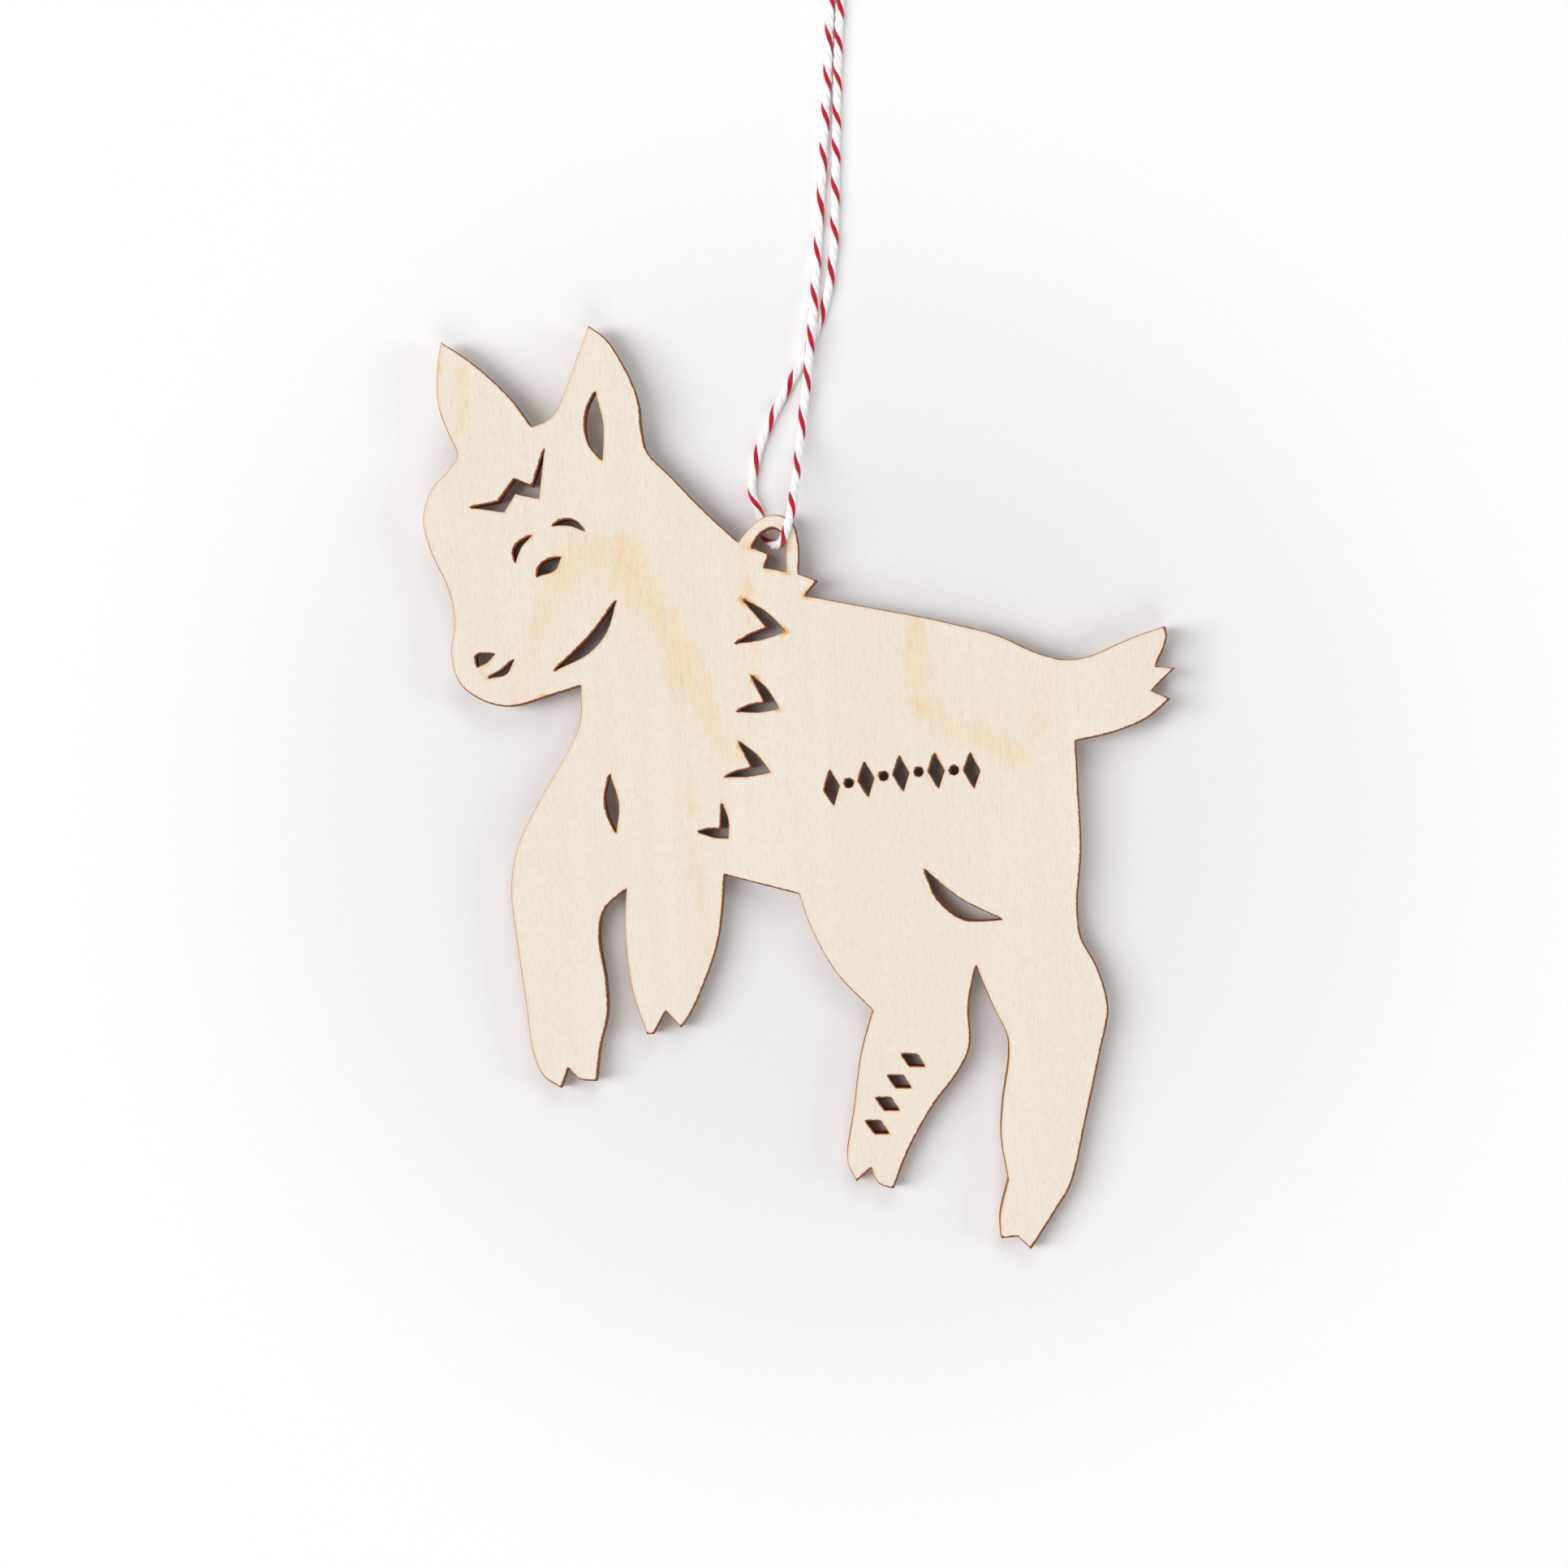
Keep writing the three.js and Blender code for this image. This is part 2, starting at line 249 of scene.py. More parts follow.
def face_wood(name, light):
    """Pale rotary-cut veneer, fine long grain, with the laser's brown line round each cut, painted wider and
    darker as shade on edges that face right and down.
    """
    look = Look(name)
    dashes = look.noise(look.place((6.0, 1.0, 0.3), GRAIN_TURN), 3, 0.65)
    fibres = look.noise(look.place((2.4, 0.055, 0.3), GRAIN_TURN), 4, 0.65, 0.15)
    bands = look.noise(look.place((0.22, 0.009, 0.1), GRAIN_TURN), 3, 0.6, 0.3)
    clouds = look.noise(look.place((0.09, 0.045, 0.1), GRAIN_TURN), 3, 0.5)
    pores = look.noise(look.place((6.0, 0.5, 0.3), GRAIN_TURN), 1, 0.5, 0.1)
    smear = look.noise(look.place((1.7, 0.17, 0.3), GRAIN_TURN), 4, 0.68, 0.4)
    pale = tint(light, (1.012, 1.018, 1.03))
    warm = tint(light, (0.992, 0.972, 0.94))
    colour = look.mix(look.fit(bands, 0.35, 0.68), pale, warm)
    colour = look.mix(look.fit(clouds, 0.35, 0.65, 0, 0.6), colour, tint(light, (0.998, 0.982, 0.955)))
    figure = look.math("MULTIPLY", look.value("figure"), look.fit(smear, 0.3, 0.7, 0.35, 1.75), clamp=True)
    colour = look.mix(figure, colour, tint(light, (1.0, 0.860, 0.64)))
    colour = look.mix(look.fit(dashes, 0.36, 0.66), colour, (0.948, 0.924, 0.886), "MULTIPLY")
    colour = look.mix(look.fit(fibres, 0.4, 0.7), colour, (0.984, 0.972, 0.956), "MULTIPLY")
    colour = look.mix(look.fit(pores, 0.655, 0.76, 0, 0.9), colour, (0.90, 0.86, 0.80), "MULTIPLY")
    # Scorch at tight corners, then the char line itself. Painted shade makes the char line wider and darker
    # on edges that face right and down, and painted light makes it paler tan on edges that face left and up.
    edge = look.value("edge")
    scorch = look.value("scorch")
    ragged = look.noise(look.place((2.2, 2.2, 0.3)), 3, 0.65)
    halo = look.fit(edge, 0.0, look.math("MULTIPLY_ADD", scorch, 1.1, 0.42), 1, 0)
    halo = look.math("MULTIPLY", halo, look.math("MULTIPLY_ADD", scorch, 1.2, 0.36), clamp=True)
    halo = look.math("MULTIPLY", halo, look.fit(ragged, 0.25, 0.6, 0.6, 1.1), clamp=True)
    colour = look.mix(halo, colour, (0.76, 0.42, 0.13))
    char_and_shade = look.value("char_and_shade")
    reach = look.math("MULTIPLY", char_and_shade, look.fit(ragged, 0.25, 0.75, 0.17, 0.29))
    char = look.fit(edge, look.math("MULTIPLY", reach, 0.6), reach, 1, 0)
    # The char's colour runs from pale tan on edges facing left and up to near black on edges facing right and
    # down: painted light and shade on the arris.
    char_lit_to_shaded = look.mix(look.fit(char_and_shade, 0.25, 0.85), (0.46, 0.20, 0.085), (0.21, 0.062, 0.021))
    colour = look.mix(char, colour, char_lit_to_shaded)
    height = look.math("ADD", look.math("MULTIPLY", dashes, 0.7), look.math("MULTIPLY", pores, -0.6))
    normal = look.bump(height, 0.00003, 0.5)
    return look.finish(colour, look.fit(fibres, 0.2, 0.8, 0.58, 0.70), normal, 0.2)


def cut_wood(name, dark, pale, grain):
    """The burnt wall of a cut: brown char with fine marks through the board's thickness, tinted darker and
    warmer inside the board as painted shade.
    """
    look = Look(name)
    along = look.vector("wall")
    lines = look.noise(look.place((5.0, 0.25, 1), 0, along), 3, 0.6)
    fibres = look.noise(look.place(grain, 0, along), 3, 0.55)
    patches = look.noise(look.place((0.25, 0.2, 1), 0, along), 2, 0.5)
    colour = look.mix(look.fit(lines, 0.3, 0.75), dark, pale)
    colour = look.mix(look.fit(fibres, 0.35, 0.7, 0, 0.6), colour, (0.62, 0.55, 0.5), "MULTIPLY")
    colour = look.mix(look.fit(patches, 0.4, 0.75, 0, 0.5), colour, pale)
    # Walls of cuts inside the board are tinted redder and darker than the outline's walls: painted warm shade
    # for the cut-outs.
    inner = look.fit(look.value("char_and_shade"), OUTER_WALL + 0.2, INNER_WALL - 0.2)
    colour = look.mix(inner, colour, (1.3, 0.72, 0.42), "MULTIPLY")
    normal = look.bump(look.math("ADD", lines, fibres), 0.00006, 0.6)
    return look.finish(colour, look.fit(fibres, 0.2, 0.8, 0.6, 0.8), normal, 0.2)


def twine_yarn(name):
    """Soft cotton strands, one of the four dyed red, with painted shade on the strands' sides that face the
    twine's middle.
    """
    look = Look(name)
    lay = look.vector("lay")
    fibre = look.noise(look.place((9, 9, 1.1), 0, lay), 3, 0.6, 0.6)
    clumps = look.noise(look.place((1.6, 1.6, 0.5), 0, lay), 2, 0.5)
    white = look.mix(look.fit(fibre, 0.3, 0.75), (0.99, 0.985, 0.98), (0.965, 0.945, 0.935))
    white = look.mix(look.fit(clumps, 0.45, 0.8, 0, 0.35), white, (0.94, 0.86, 0.84))
    red = look.mix(look.fit(fibre, 0.3, 0.75), (0.66, 0.003, 0.026), (0.34, 0.001, 0.008))
    red = look.mix(look.fit(clumps, 0.5, 0.8, 0, 0.4), red, (0.46, 0.004, 0.016))
    # Painted shade between the strands: where a strand faces the twine's middle, white is darkened toward
    # pinkish tan and red toward near black.
    inner = look.value("inner")
    white = look.mix(look.math("MULTIPLY", inner, 0.22), white, (0.86, 0.72, 0.68))
    red = look.mix(look.math("MULTIPLY", inner, 0.5), red, (0.14, 0.0, 0.004))
    colour = look.mix(look.value("dyed"), white, red)
    normal = look.bump(fibre, 0.00003, 0.7)
    look.shader.inputs["Sheen Weight"].default_value = 0.25
    look.shader.inputs["Sheen Roughness"].default_value = 0.6
    return look.finish(colour, look.fit(fibre, 0.2, 0.8, 0.8, 0.95), normal, 0.15)


def floor_paper(name):
    """Plain white paper, with painted shade that makes it darker in the middle of the sheet, under the
    object.
    """
    look = Look(name)
    tooth = look.noise(look.place((1.2, 1.2, 1.2)), 4, 0.6)
    away = look.node("ShaderNodeVectorMath", operation="DISTANCE")
    look.plug(look.place((1, 1, 1)), away.inputs[0])
    away.inputs[1].default_value = (4, -3, 0)
    # Painted shade: the paper is darker within about 28 mm of a point near the object's middle and clears to
    # full white by 90 mm.
    colour = look.mix(look.fit(away.outputs["Value"], 28, 90), (0.85, 0.85, 0.85), (0.97, 0.97, 0.97))
    colour = look.mix(look.fit(tooth, 0.3, 0.7), colour, (0.99, 0.99, 0.99), "MULTIPLY")
    return look.finish(colour, 0.9, look.bump(tooth, 0.00002, 0.3), 0.1)


FRONT_WOOD = face_wood("front_wood", (0.872, 0.802, 0.711))
BACK_WOOD = face_wood("back_wood", (0.845, 0.768, 0.672))
FACE_CUT = cut_wood("face_ply_cut", (0.20, 0.060, 0.020), (0.60, 0.25, 0.090), (0.5, 7.0, 1))
CORE_CUT = cut_wood("core_ply_cut", (0.13, 0.039, 0.013), (0.44, 0.175, 0.062), (6.0, 5.0, 1))
YARN = twine_yarn("twine_yarn")


# ---------------------------------------------------------------- the plies

# The tan figure of the front veneer: lines with a width and a strength, in millimetres.
FIGURE = [
    # the arch over the cheek and down the neck
    ([(-31.2, 9.6), (-30.4, 13.4), (-29.2, 17.6), (-28.0, 21.6), (-26.6, 24.4)], 1.01, 0.44),
    ([(-29.2, 12.4), (-27.6, 18.6), (-26.0, 22.6)], 2.56, 0.19),
    ([(-26.6, 24.4), (-25.0, 26.2), (-23.0, 26.6), (-21.2, 25.9), (-19.6, 26.8)], 1.62, 0.42),
    ([(-25.6, 24.2), (-22.4, 24.2), (-19.6, 24.0)], 3.10, 0.26),
    ([(-19.6, 26.8), (-18.6, 24.2), (-16.4, 20.9), (-14.6, 17.6), (-13.2, 14.4), (-12.2, 11.4)], 1.30, 0.50),
    ([(-18.8, 22.6), (-16.2, 17.6), (-14.2, 13.4)], 3.24, 0.22),
    ([(-13.0, 15.0), (-11.8, 11.4), (-9.9, 8.2), (-8.0, 5.4), (-6.9, 3.2)], 1.20, 0.42),
    ([(-12.6, 12.4), (-10.2, 7.2), (-8.4, 4.0)], 2.97, 0.18),
    # the bowl on the rump
    ([(12.7, 18.6), (12.5, 15.0), (12.9, 11.4), (13.4, 9.0)], 1.15, 0.63),
    ([(13.4, 9.0), (15.2, 7.2), (17.2, 6.5), (19.2, 6.6), (21.4, 5.2), (23.2, 4.0), (24.3, 3.7)], 1.08, 0.53),
    ([(24.3, 3.7), (26.0, 5.6), (27.2, 8.8), (28.0, 12.0), (28.3, 15.0)], 0.88, 0.36),
    ([(14.6, 16.0), (15.4, 10.8), (18.8, 8.6), (23.0, 7.2)], 2.97, 0.16),
    # faint streaks in the ear, at the coat line and down the foreleg
    ([(-36.9, 46.2), (-37.1, 43.0), (-37.4, 39.6)], 0.55, 0.47),
    ([(-7.2, 31.0), (-6.2, 24.0), (-5.6, 16.0), (-5.4, 8.0)], 1.08, 0.27),
    ([(-12.6, -0.6), (-11.2, -8.0), (-10.2, -14.0), (-9.8, -18.4)], 1.08, 0.36),
    ([(-39.9, 46.9), (-39.75, 46.4), (-39.6, 46.0)], 0.37, 1.00),
    ([(-5.6, 27.5), (-5.3, 24.0), (-5.1, 21.0)], 0.25, 0.70),
]


def welded(node):
    """The node's points in millimetres, with doubles merged, and its triangles."""
    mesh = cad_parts[node].data
    co = np.zeros(len(mesh.vertices) * 3)
    mesh.vertices.foreach_get("co", co)
    co = co.reshape(-1, 3) / MM
    mesh.calc_loop_triangles()
    tris = np.zeros(len(mesh.loop_triangles) * 3, int)
    mesh.loop_triangles.foreach_get("vertices", tris)
    key = np.round(co * 1e4).astype(np.int64)
    _, first, back = np.unique(key, axis=0, return_index=True, return_inverse=True)
    return co[first], back.ravel()[tris].reshape(-1, 3)


def board_axes():
    """The board's own axes, as rows: across it, up its face, and out of the drawn face."""
    points, tris = welded("front_veneer")
    n = np.cross(points[tris[:, 1]] - points[tris[:, 0]], points[tris[:, 2]] - points[tris[:, 0]])
    size = np.linalg.norm(n, axis=1)
    up = n[np.argmax(np.where(n[:, 2] / np.maximum(size, 1e-12) > 0.9, size, 0))]
    w = up / np.linalg.norm(up)
    u = np.array([1.0, 0, 0]) - w * w[0]
    u /= np.linalg.norm(u)
    return np.stack([u, np.cross(w, u), w])


AXES = board_axes()


def face_loops(points, tris, side):
    """The closed outlines of the flat face on that side, outer ones counter-clockwise seen from +w."""
    n = np.cross(points[tris[:, 1]] - points[tris[:, 0]], points[tris[:, 2]] - points[tris[:, 0]])
    n /= np.maximum(np.linalg.norm(n, axis=1), 1e-12)[:, None]
    flat = tris[n @ AXES[2] * side > 0.99]
    edges = {(int(t[i]), int(t[(i + 1) % 3])) for t in flat for i in range(3)}
    follow = {a: b for a, b in edges if (b, a) not in edges}
    loops = []
    while follow:
        start, b = follow.popitem()
        loop = [start]
        while b != start:
            loop.append(b)
            b = follow.pop(b)
        loops.append(points[loop] @ AXES.T)
    height = float(np.mean(np.vstack(loops)[:, 2]))
    return [l[:, :2] if side > 0 else l[::-1, :2] for l in loops], height


def split_long(loop, longest):
    """The closed outline with its long edges cut into pieces no longer than longest."""
    out = []
    for a, b in zip(loop, np.roll(loop, -1, axis=0)):
        n = max(1, int(math.ceil(np.linalg.norm(b - a) / longest)))
        out.append(a + (b - a) * (np.arange(n) / n)[:, None])
    return np.vstack(out)


def within(points, loops):
    """Whether each point is inside the outline, by the even and odd rule."""
    hits = np.zeros(len(points), int)
    for loop in loops:
        nxt = np.roll(loop, -1, axis=0)
        for (x0, y0), (x1, y1) in zip(loop, nxt):
            if y0 == y1:
                continue
            crosses = (points[:, 1] >= min(y0, y1)) & (points[:, 1] < max(y0, y1))
            x = x0 + (points[:, 1] - y0) * (x1 - x0) / (y1 - y0)
            hits += crosses & (x > points[:, 0])
    return hits % 2 == 1


def tree_of(points):
    """A search tree over points in the plane."""
    tree = kdtree.KDTree(len(points))
    for i, p in enumerate(points):
        tree.insert((p[0], p[1], 0), i)
    tree.balance()
    return tree


def edge_distance(points, tree):
    """How far each point is from the nearest cut."""
    return np.array([tree.find((p[0], p[1], 0))[2] for p in points])


# Where the laser dwelt long enough to stain the face.
HOT_SPOTS = [
    # the tips of the coat marks
    ((-6.15, 20.85), 1.0), ((-1.45, 17.35), 0.75), ((-5.0, 12.3), 0.8), ((-1.95, 8.35), 0.5),
    ((-6.9, 4.6), 0.5),
    # round the hanging tab
    ((0.75, 21.35), 0.7), ((-1.25, 27.0), 0.6), ((-5.3, 26.6), 0.35), ((-3.6, 23.8), 0.4),
    ((-1.3, 23.7), 0.5),
    # nostril, jaw and flank
    ((-34.4, 13.6), 0.2), ((-28.4, 10.1), 0.4), ((13.9, 5.2), 0.3),
]
SHARP_TURN = 55  # degrees: a sharper corner than this is scorched a little
SCORCH_REACH = 0.75


def corner_heat(loops):
    """Where the laser turned sharply: a list of (place, strength)."""
    heat = []
    for loop in loops:
        a = loop - np.roll(loop, 1, axis=0)
        b = np.roll(loop, -1, axis=0) - loop
        turn = np.degrees(np.abs(np.arctan2(a[:, 0] * b[:, 1] - a[:, 1] * b[:, 0], (a * b).sum(1))))
        for p, t in zip(loop, turn):
            if t > SHARP_TURN:
                heat.append((p, min(1.0, (t - 35) / 110) * random.uniform(0.0, 0.28)))
    return heat + [(np.array(place), strength) for place, strength in HOT_SPOTS]


def line_distance(points, line):
    """How far each point is from a line of straight pieces."""
    best = np.full(len(points), 1e9)
    for a, b in zip(line, line[1:]):
        step = b - a
        t = np.clip(((points - a) @ step) / (step @ step), 0, 1)
        best = np.minimum(best, np.linalg.norm(points - a - t[:, None] * step, axis=1))
    return best


RINGS = (0.05, 0.11, 0.18, 0.3, 0.55, 1.0)  # rows of points along a cut, this far in from it
EDGE_STEP = 0.45  # the spacing of the points along a cut
FINE_STEP = 0.06  # the spacing of the points that distances are measured to
FACE_GRID = 1.3  # the spacing of the points away from the cuts
WALL_ROWS = 5
ARRIS = 0.04  # how far the burnt edge is rounded off


def without_slivers(tris, cuts):
    """The triangles, less the flat ones that a triangulation leaves outside a straight cut."""
    while True:
        sides = np.sort(np.stack([tris, np.roll(tris, -1, axis=1)], axis=2), axis=2).reshape(-1, 2)
        _, which, count = np.unique(sides, axis=0, return_inverse=True, return_counts=True)
        lone = count[which.ravel()] == 1
        on_cut = np.array([tuple(s) in cuts for s in sides.tolist()])
        sliver = (lone & ~on_cut).reshape(-1, 3).any(axis=1)
        if not sliver.any():
            return tris
        tris = tris[~sliver]


def refined_face(loops, rings, grid):
    """Triangles over the face: close rows of points along the cuts and a loose grid between them."""
    fine = [split_long(l, EDGE_STEP) for l in loops]
    dense_loops = [split_long(l, FINE_STEP) for l in loops]
    dense = np.vstack(dense_loops)
    tree = tree_of(dense)
    points = [np.vstack(fine)]
    for distance in rings:
        for loop in fine:
            step = split_long(loop, max(EDGE_STEP, distance * 1.3))
            ahead = np.roll(step, -1, axis=0) - np.roll(step, 1, axis=0)
            ahead /= np.linalg.norm(ahead, axis=1)[:, None]
            inner = step + np.stack([-ahead[:, 1], ahead[:, 0]], axis=1) * distance
            inner = inner[edge_distance(inner, tree) > distance * 0.93]
            points.append(inner[::2] if distance > 0.5 else inner)
    if grid:
        low, high = dense.min(0), dense.max(0)
        x, y = np.meshgrid(np.arange(low[0], high[0], grid), np.arange(low[1], high[1], grid * 0.87))
        x[1::2] += grid / 2
        g = np.stack([x.ravel(), y.ravel()], axis=1)
        g += rng.uniform(-0.12, 0.12, g.shape) * grid
        g = g[within(g, fine)]
        points.append(g[edge_distance(g, tree) > rings[-1] + grid * 0.6])
    edges = []
    base = 0
    for loop in fine:
        n = len(loop)
        edges += [(base + i, base + (i + 1) % n) for i in range(n)]
        base += n
    everything = np.vstack(points)
    verts, _, tris, origin, _, _ = delaunay_2d_cdt([Vector(p) for p in everything], edges, [], 0, 1e-6)
    verts = np.array([tuple(v) for v in verts])
    tris = np.array([t for t in tris if len(t) == 3])
    first = {}
    for new, olds in enumerate(origin):
        for old in olds:
            first[old] = new
    tris = tris[within(verts[tris].mean(1), fine)]
    a, b, c = verts[tris[:, 0]], verts[tris[:, 1]], verts[tris[:, 2]]
    area = (b - a)[:, 0] * (c - a)[:, 1] - (b - a)[:, 1] * (c - a)[:, 0]
    tris = np.where((area < 0)[:, None], tris[:, ::-1], tris)
    cuts = {tuple(sorted((first[a], first[b]))) for a, b in edges}
    tris = without_slivers(tris[np.abs(area) > 1e-9], cuts)
    used = np.unique(tris)
    renumber = -np.ones(len(verts), int)
    renumber[used] = np.arange(len(used))
    outline = [
        [int(renumber[first[i]]) for i in range(start, start + len(loop))]
        for start, loop in zip(np.cumsum([0] + [len(l) for l in fine[:-1]]), fine)
    ]
    verts = verts[used]
    distance = edge_distance(verts, tree)
    for loop in outline:
        distance[loop] = 0
    # Edges that face right and down the face get a wider char line: painted shade on the arris, laid over the
    # real char line.
    ahead = np.vstack([np.roll(l, -1, axis=0) - np.roll(l, 1, axis=0) for l in dense_loops])
    ahead /= np.linalg.norm(ahead, axis=1)[:, None]
    facing = ahead[:, 1] * 0.85 + ahead[:, 0] * 0.5
    char_and_shade = np.array([facing[tree.find((p[0], p[1], 0))[1]] for p in verts])
    return verts, renumber[tris], outline, distance, 0.72 + 0.48 * char_and_shade


def scorch_strength(plan, edge, loops):
    """How scorched each point near a cut is, by the two nearest places where the laser dwelt."""
    heat = corner_heat(loops)
    near = tree_of([place for place, _ in heat])
    scorch = np.zeros(len(plan))
    for k in np.flatnonzero(edge < 1.3):
        for _, i, d in near.find_n((plan[k][0], plan[k][1], 0), 2):
            scorch[k] = max(scorch[k], heat[i][1] * math.exp(-(d / SCORCH_REACH) ** 2))
    return scorch


def figure_strength(plan):
    """How much of the veneer's tan figure each point has."""
    figure = np.zeros(len(plan))
    for line, width, strength in FIGURE:
        smooth = catmull_rom([(x, y, 0) for x, y in line], 0.6)[:, :2]
        wobble = np.sin(plan[:, 1] * 1.3 + plan[:, 0]) * np.sin(plan[:, 1] * 0.45 - plan[:, 0] * 0.8)
        d = np.maximum(0, line_distance(plan, smooth) + wobble * width * 0.3)
        figure = 1 - (1 - figure) * (1 - strength * np.exp(-((d / width) ** 2)))
    return figure


def ply_wall(ring, high, low, first, depth_from):
    """A cut's wall from height high to low: its points, faces, values that mark an inner wall for its painted
    warm shade, and wall coordinates.
    """
    n = len(ring)
    run = arc_lengths(np.vstack([ring, ring[:1]]))[:-1]
    points = []
    wall_at = []
    for r in range(WALL_ROWS + 1):
        w = high * (1 - r / WALL_ROWS) + low * r / WALL_ROWS
        points.append(np.column_stack([ring, np.full(n, w)]))
        wall_at.append(np.column_stack([run, np.full(n, depth_from - w), np.full(n, n * 0.37)]))
    quads = []
    for r in range(WALL_ROWS):
        for i in range(n):
            a = first + r * n + i
            b = first + r * n + (i + 1) % n
            quads.append((b, a, a + n, b + n))
    nxt = np.roll(ring, -1, axis=0)
    clockwise = (ring[:, 0] * nxt[:, 1] - nxt[:, 0] * ring[:, 1]).sum() < 0
    char_and_shade = np.full(n * (WALL_ROWS + 1), INNER_WALL if clockwise else OUTER_WALL)
    return np.vstack(points), quads, char_and_shade, np.vstack(wall_at)


def make_ply(node, front, back, wall, depth_from):
    """A ply from its CAD node's own outline, with a rounded, burnt arris on a face that shows."""
    points, tris = welded(node)
    loops, top = face_loops(points, tris, 1)
    _, bottom = face_loops(points, tris, -1)
    shows = front or back
    verts, faces, outline, distance, char_and_shade = refined_face(
        loops, RINGS if shows else (), FACE_GRID if shows else 0
    )
    count = len(verts)
    drop = ARRIS * (1 - np.clip(distance / RINGS[0], 0, 1))
    top_w = np.broadcast_to(top - (drop if front else 0), count)
    bottom_w = np.broadcast_to(bottom + (drop if back else 0), count)
    quads = [tuple(t) for t in faces.tolist()]
    quads += [tuple(t[::-1]) for t in (faces + count).tolist()]
    face_count = len(quads)
    xyz = [np.column_stack([verts, top_w]), np.column_stack([verts, bottom_w])]
    edge = [distance, distance]
    burnt = [char_and_shade, char_and_shade]
    wall_at = [np.column_stack([np.tile(verts[:, 0], 2), np.zeros((2 * count, 2))])]
    # The walls have their own points, so that the cut keeps its own shading and its own coordinates.
    high = top - (ARRIS if front else 0)
    low = bottom + (ARRIS if back else 0)
    first = 2 * count
    for loop in outline:
        wall_points, wall_quads, wall_shade_kind, wall_places = ply_wall(verts[loop], high, low, first, depth_from)
        xyz.append(wall_points)
        quads += wall_quads
        edge.append(np.zeros(len(wall_points)))
        burnt.append(wall_shade_kind)
        wall_at.append(wall_places)
        first += len(wall_points)
    xyz = np.vstack(xyz)
    plan = xyz[:, :2]
    edge = np.concatenate(edge)
    kinds = np.ones(len(quads), int)
    kinds[:face_count] = 0
    obj = mesh_object(
        node + "_board", xyz @ AXES, quads, [BACK_WOOD if back else FRONT_WOOD, wall],
        [
            ("edge", "FLOAT", edge),
            ("scorch", "FLOAT", scorch_strength(plan, edge, loops)),
            ("figure", "FLOAT", figure_strength(plan) * (1.0 if front else 0.5)),
            ("char_and_shade", "FLOAT", np.concatenate(burnt)),
            ("wall", "FLOAT_VECTOR", np.vstack(wall_at)),
        ],
        kinds,
    )
    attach(obj, "ornament")
    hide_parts(node)
    return obj


board_top = face_loops(*welded("front_veneer"), 1)[1]
make_ply("front_veneer", True, False, FACE_CUT, board_top)
make_ply("core_veneer", False, False, CORE_CUT, board_top)
make_ply("back_veneer", False, True, FACE_CUT, board_top)


# ---------------------------------------------------------------- the twine

# The twine's route in millimetres: down the leg that runs under the tab, up through the hole, and back
# along the leg that lies on the tab and then on the other leg.
BACK_LEG = [
    (-4.7, 31.4, 0.56), (-5.15, 32.7, 0.56), (-5.2, 34.2, 0.56), (-4.75, 36.5, 0.56), (-3.85, 39.3, 0.56),
    (-2.3, 42.6, 0.56), (-1.0, 45.0, 0.56), (-0.1, 46.6, 0.56), (0.9, 48.9, 0.56), (2.0, 51.3, 0.56),
    (2.8, 53.4, 0.56), (3.5, 56.8, 0.56), (3.9, 60.4, 0.56), (4.05, 66.6, 0.56), (4.2, 74.7, 0.56),
    (4.4, 83.2, 0.56), (4.7, 90.0, 0.56), (4.95, 97.0, 0.6), (4.85, 102.0, 1.1),
]
BIGHT = [
    (-4.6, 31.1, 0.56), (-4.3, 30.1, 0.56), (-4.13, 29.2, 0.565), (-3.95, 28.5, 0.63), (-3.68, 27.82, 0.93),
    (-3.15, 27.16, 1.76), (-2.5, 26.87, 2.85), (-2.0, 27.08, 3.8), (-1.66, 27.7, 4.5), (-1.4, 28.5, 4.83),
    (-1.15, 29.4, 4.9), (-0.83, 30.9, 4.72),
]
FRONT_LEG = [
    (-0.6, 32.7, 4.1), (-0.2, 35.6, 2.75), (0.1, 38.3, 1.75), (0.35, 40.8, 1.25), (0.65, 43.3, 1.15),
    (0.92, 45.7, 1.35), (1.1, 47.6, 1.6), (1.3, 49.8, 1.72), (1.5, 52.0, 1.62), (1.68, 54.5, 1.2),
    (1.88, 57.0, 0.8), (2.1, 60.0, 0.6), (2.4, 64.5, 0.56), (2.7, 70.3, 0.56), (3.05, 76.7, 0.56),
    (3.35, 83.4, 0.56), (3.5, 90.0, 0.56), (3.65, 97.0, 0.6), (3.75, 102.0, 1.1),
]
LEFT_TAIL = [(3.9, 107.6, 1.2), (3.4, 109.6, 0.7), (2.7, 112.5, 0.56), (2.2, 116.0, 0.56)]
RIGHT_TAIL = [(4.8, 107.6, 1.2), (5.4, 109.8, 0.7), (6.3, 113.0, 0.56), (6.7, 116.9, 0.56)]
# The middles of the red stripes that show from above, down each run.
FRONT_STRIPES = [
    (3.37, 83.4), (3.14, 78.7), (3.05, 74.7), (2.84, 70.3), (2.46, 64.8), (2.0, 59.4), (1.67, 54.5),
    (1.27, 49.75), (0.85, 45.6), (0.35, 40.6), (-0.22, 35.5), (-0.8, 31.1), (-1.47, 27.7),
]
BACK_STRIPES = [
    (4.5, 86.9), (4.35, 83.2), (4.28, 79.0), (4.18, 74.7), (4.14, 71.0), (4.01, 66.6), (3.93, 62.0),
    (3.57, 57.45), (2.57, 53.05), (-0.97, 45.05), (-3.05, 41.1), (-4.8, 36.55), (-4.8, 31.55),
]
KNOT_CENTRE = np.array([4.3, 104.9, 1.5])
STEP = 0.1  # along the twine
SMOOTHING_PASSES = 25
PITCH = 4.7  # one turn of the lay, where no stripe sets it
